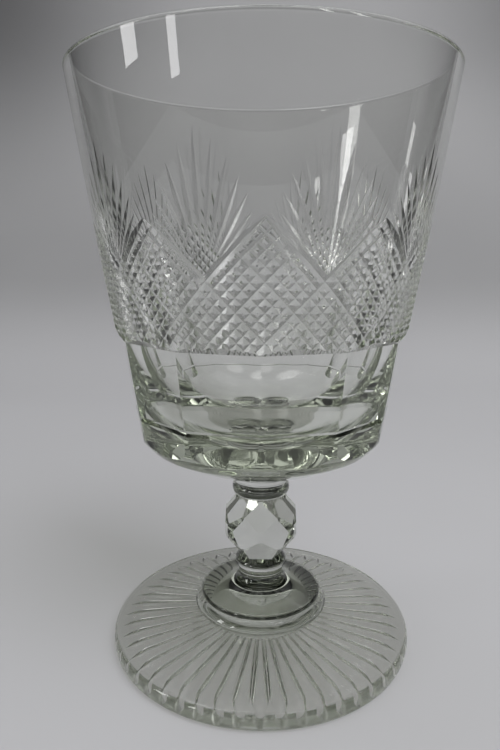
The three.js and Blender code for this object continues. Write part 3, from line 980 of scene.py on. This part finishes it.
def paper_material(settings):
    """Matt paper with painted shade where it turns up and in its upper corners, and a faint mottle.
    """
    material = bpy.data.materials.new("backdrop_paper")
    material.use_nodes = True
    tree = material.node_tree
    add = node_maker(tree)
    place = add("ShaderNodeTexCoord").outputs["Object"]
    height = add("ShaderNodeSeparateXYZ", {"Vector": place}).outputs["Z"]
    shade = settings.floor_colour
    # The floor's colour darkens to a painted shade where the paper turns up, then goes to the
    # backdrop's colour higher up.
    for low, high, tone in ((0, 0.25, settings.horizon_shade_colour),
                            (0.25, 1, settings.backdrop_colour)):
        risen = add("ShaderNodeMapRange", {"Value": height, "From Min": low * SHADE_REACH,
                                           "From Max": high * SHADE_REACH},
                    interpolation_type="SMOOTHSTEP")
        mixed = add("ShaderNodeMix", {"Factor": risen, 6: shade, 7: tone}, data_type="RGBA")
        shade = mixed.outputs[2]
    mottle = add("ShaderNodeTexNoise", {"Vector": place, "Scale": 8.0})
    tones = add("ShaderNodeMapRange", {"Value": mottle, "To Min": 0.97, "To Max": 1.03})
    # Painted shade in the backdrop's upper corners, multiplied into the mottle.
    for corner in SHADED_CORNERS:
        away = add("ShaderNodeVectorMath", {0: place, 1: corner}, operation="DISTANCE")
        kept = add("ShaderNodeMapRange",
                   {"Value": away.outputs["Value"], "From Max": SHADE_REACH,
                    "To Min": 1 - settings.corner_shade}, interpolation_type="SMOOTHSTEP")
        tones = add("ShaderNodeMath", {0: tones, 1: kept}, operation="MULTIPLY")
    toned = add("ShaderNodeVectorMath", {"Vector": shade, "Scale": tones}, operation="SCALE")
    feed(tree, tree.nodes["Principled BSDF"],
         {"Base Color": toned, "Roughness": 0.9, "Specular IOR Level": 0.1})
    return material


def lay_paper(settings):
    """The floor and the backdrop, as one sheet of paper."""
    profile = [(SHEET_FRONT, -SHEET_GAP)]
    for step in range(SWEEP_STEPS + 1):
        turn = step * math.pi / (2 * SWEEP_STEPS)
        profile.append((SHEET_BACK + SWEEP_RADIUS * math.sin(turn),
                        SWEEP_RADIUS * (1 - math.cos(turn)) - SHEET_GAP))
    profile.append((SHEET_BACK + SWEEP_RADIUS, SHEET_TOP))
    points = [(x, y, z) for y, z in profile for x in (-SHEET_HALF_WIDTH, SHEET_HALF_WIDTH)]
    faces = [(2 * i, 2 * i + 1, 2 * i + 3, 2 * i + 2) for i in range(len(profile) - 1)]
    mesh = bpy.data.meshes.new("floor_and_backdrop")
    mesh.from_pydata(points, [], faces)
    mesh.polygons.foreach_set("use_smooth", [True] * len(faces))
    mesh.materials.append(paper_material(settings))
    add_object("floor_and_backdrop", mesh)


def room_direction(turn, rise):
    """The direction at an angle to the right of straight back, and up from level, in degrees."""
    turn, rise = math.radians(turn), math.radians(rise)
    level = math.cos(rise)
    return Vector((math.sin(turn) * level, math.cos(turn) * level, math.sin(rise)))


def area_lamp(name, place, facing, size, energy):
    """An area lamp of a width and height, at a place, that faces a way."""
    light = bpy.data.lights.new(name, "AREA")
    light.shape = "RECTANGLE"
    light.size, light.size_y = size
    light.energy = energy
    lamp = add_object(name, light)
    lamp.location = place
    lamp.rotation_euler = facing.to_track_quat("-Z", "Y").to_euler()
    return lamp


def hang_lamps(settings):
    """The windows, and a softbox that lights the paper but isn't seen in the glass."""
    centre = Vector((0, 0, LAMPS_AIM))
    for name, turns, rises, share_of_power in WINDOWS:
        low, high = (WINDOW_DISTANCE * math.tan(math.radians(rise)) for rise in rises)
        width, height = WINDOW_DISTANCE * math.radians(turns[1] - turns[0]), high - low
        way = room_direction((turns[0] + turns[1]) / 2, 0)
        place = centre + way * WINDOW_DISTANCE + Vector((0, 0, (low + high) / 2))
        area_lamp(name, place, -way, (width, height),
                  settings.window_light * share_of_power * width * height)
    way = room_direction(SOFTBOX_TURN, SOFTBOX_RISE)
    softbox = area_lamp("softbox", centre + way * SOFTBOX_DISTANCE, -way,
                        (SOFTBOX_SIZE, SOFTBOX_SIZE), settings.softbox_power)
    softbox.visible_glossy = softbox.visible_transmission = False


def room_world(settings):
    """A dim room with two paler walls, dark corners and a dark ceiling with two lamps."""
    world = bpy.data.worlds.new("room")
    world.use_nodes = True
    tree = world.node_tree
    add = node_maker(tree)
    way = add("ShaderNodeTexCoord").outputs["Generated"]
    seen = settings.room_colour
    for turn, rise, outer, inner, name, strength in ROOM_PATCHES:
        towards = add("ShaderNodeVectorMath", {0: way, 1: room_direction(turn, rise)},
                      operation="DOT_PRODUCT").outputs["Value"]
        patch = add("ShaderNodeMapRange",
                    {"Value": towards, "From Min": math.cos(math.radians(outer)),
                     "From Max": math.cos(math.radians(inner))},
                    interpolation_type="SMOOTHSTEP")
        tone = [value * strength for value in getattr(settings, name)]
        painted = add("ShaderNodeMix", {"Factor": patch, 6: seen, 7: tone}, data_type="RGBA")
        seen = painted.outputs[2]
    feed(tree, tree.nodes["Background"], {"Color": seen})
    bpy.context.scene.world = world


def set_camera(settings):
    """The camera, at the photograph's viewing angle."""
    camera = bpy.data.cameras.new("camera")
    camera.sensor_fit = "AUTO"
    camera.lens = settings.lens
    camera.clip_start = 0.005
    eye = add_object("camera", camera)
    eye.location = (0, -settings.camera_distance, settings.camera_height)
    eye.rotation_euler = (math.pi / 2 - settings.camera_pitch, 0, settings.camera_yaw)
    bpy.context.scene.camera = eye


class RUMMER_OT_stage(bpy.types.Operator):
    """Set the floor, the backdrop, the lamps, the world and the camera"""
    bl_idname = "rummer.stage"
    bl_label = "Stage"

    def execute(self, context):
        scene = context.scene
        settings = scene.rummer.stage
        lay_paper(settings)
        hang_lamps(settings)
        room_world(settings)
        set_camera(settings)
        scene.view_settings.view_transform = "Standard"
        scene.cycles.max_bounces = 32
        scene.cycles.transmission_bounces = 32
        scene.cycles.glossy_bounces = 16
        scene.cycles.transparent_max_bounces = 32
        return {"FINISHED"}


OPERATORS = (RUMMER_OT_stage, RUMMER_OT_foot, RUMMER_OT_stem, RUMMER_OT_collars, RUMMER_OT_knop,
             RUMMER_OT_bowl)


class RUMMER_PT_panel(bpy.types.Panel):
    """The rummer's pieces, in the order in which they are made"""
    bl_label = "Rummer"
    bl_idname = "RUMMER_PT_panel"
    bl_space_type = "VIEW_3D"
    bl_region_type = "UI"
    bl_category = "Rummer"

    def draw(self, context):
        for operator in OPERATORS:
            self.layout.operator(operator.bl_idname)


CLASSES = (*SETTINGS.values(), RummerSettings, *OPERATORS, RUMMER_PT_panel)


def register():
    for cls in CLASSES:
        bpy.utils.register_class(cls)
    bpy.types.Scene.rummer = PointerProperty(type=RummerSettings)


def unregister():
    del bpy.types.Scene.rummer
    for cls in reversed(CLASSES):
        bpy.utils.unregister_class(cls)


def main():
    register()
    bpy.ops.rummer.stage()
    bpy.ops.rummer.foot()
    bpy.ops.rummer.stem()
    bpy.ops.rummer.collars()
    bpy.ops.rummer.knop()
    bpy.ops.rummer.bowl()


if __name__ == "__main__":
    main()
